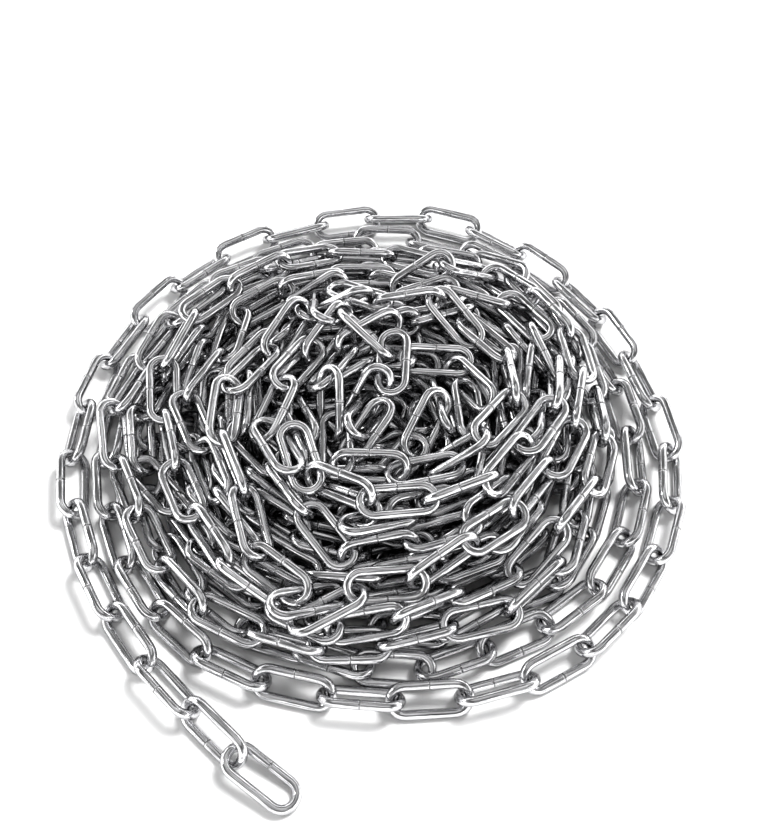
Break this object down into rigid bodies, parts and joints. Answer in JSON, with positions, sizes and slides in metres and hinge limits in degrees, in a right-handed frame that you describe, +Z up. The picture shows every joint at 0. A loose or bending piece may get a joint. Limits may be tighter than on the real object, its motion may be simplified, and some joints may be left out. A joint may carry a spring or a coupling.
{
  "type": "heap of steel chain",
  "caption": "Length of bright long-link steel chain laid as an inward spiral and piled on itself, with a free tail on the floor.",
  "frame": {"origin": "on the floor, under the middle of the heap, at the middle of the core's underside", "axes": "+Z up, +Y away from the free tail's side, +X to the right seen from that side"},
  "size_m": [0.3506, 0.3843, 0.0553],
  "materials": {
    "steel": "bright drawn stainless wire, satin with fine lengthwise draw lines and a fine welded seam on each link"
  },
  "bodies": {
    "root": {"link_01": "steel", "link_02": "steel", "link_03": "steel", "link_04": "steel", "link_05": "steel", "link_06": "steel", "link_07": "steel", "link_08": "steel", "link_09": "steel", "link_10": "steel", "link_11": "steel", "link_12": "steel", "link_13": "steel", "link_14": "steel", "link_15": "steel", "link_16": "steel", "link_17": "steel", "link_18": "steel", "link_19": "steel", "link_20": "steel", "link_21": "steel", "link_22": "steel", "link_23": "steel", "link_24": "steel", "link_25": "steel", "link_26": "steel", "link_27": "steel", "link_28": "steel", "link_29": "steel", "link_30": "steel", "link_31": "steel", "link_32": "steel", "link_33": "steel", "link_34": "steel", "link_35": "steel", "link_36": "steel", "link_37": "steel", "link_38": "steel", "link_39": "steel", "link_40": "steel", "link_41": "steel", "link_42": "steel", "link_43": "steel", "link_44": "steel", "link_45": "steel", "link_46": "steel", "link_47": "steel", "link_48": "steel", "link_49": "steel", "link_50": "steel", "link_51": "steel", "link_52": "steel", "link_53": "steel", "link_54": "steel", "piled_turns_1": "steel", "piled_turns_2": "steel", "piled_turns_3": "steel", "piled_turns_4": "steel", "heap_core": "steel"}
  },
  "joints": []
}
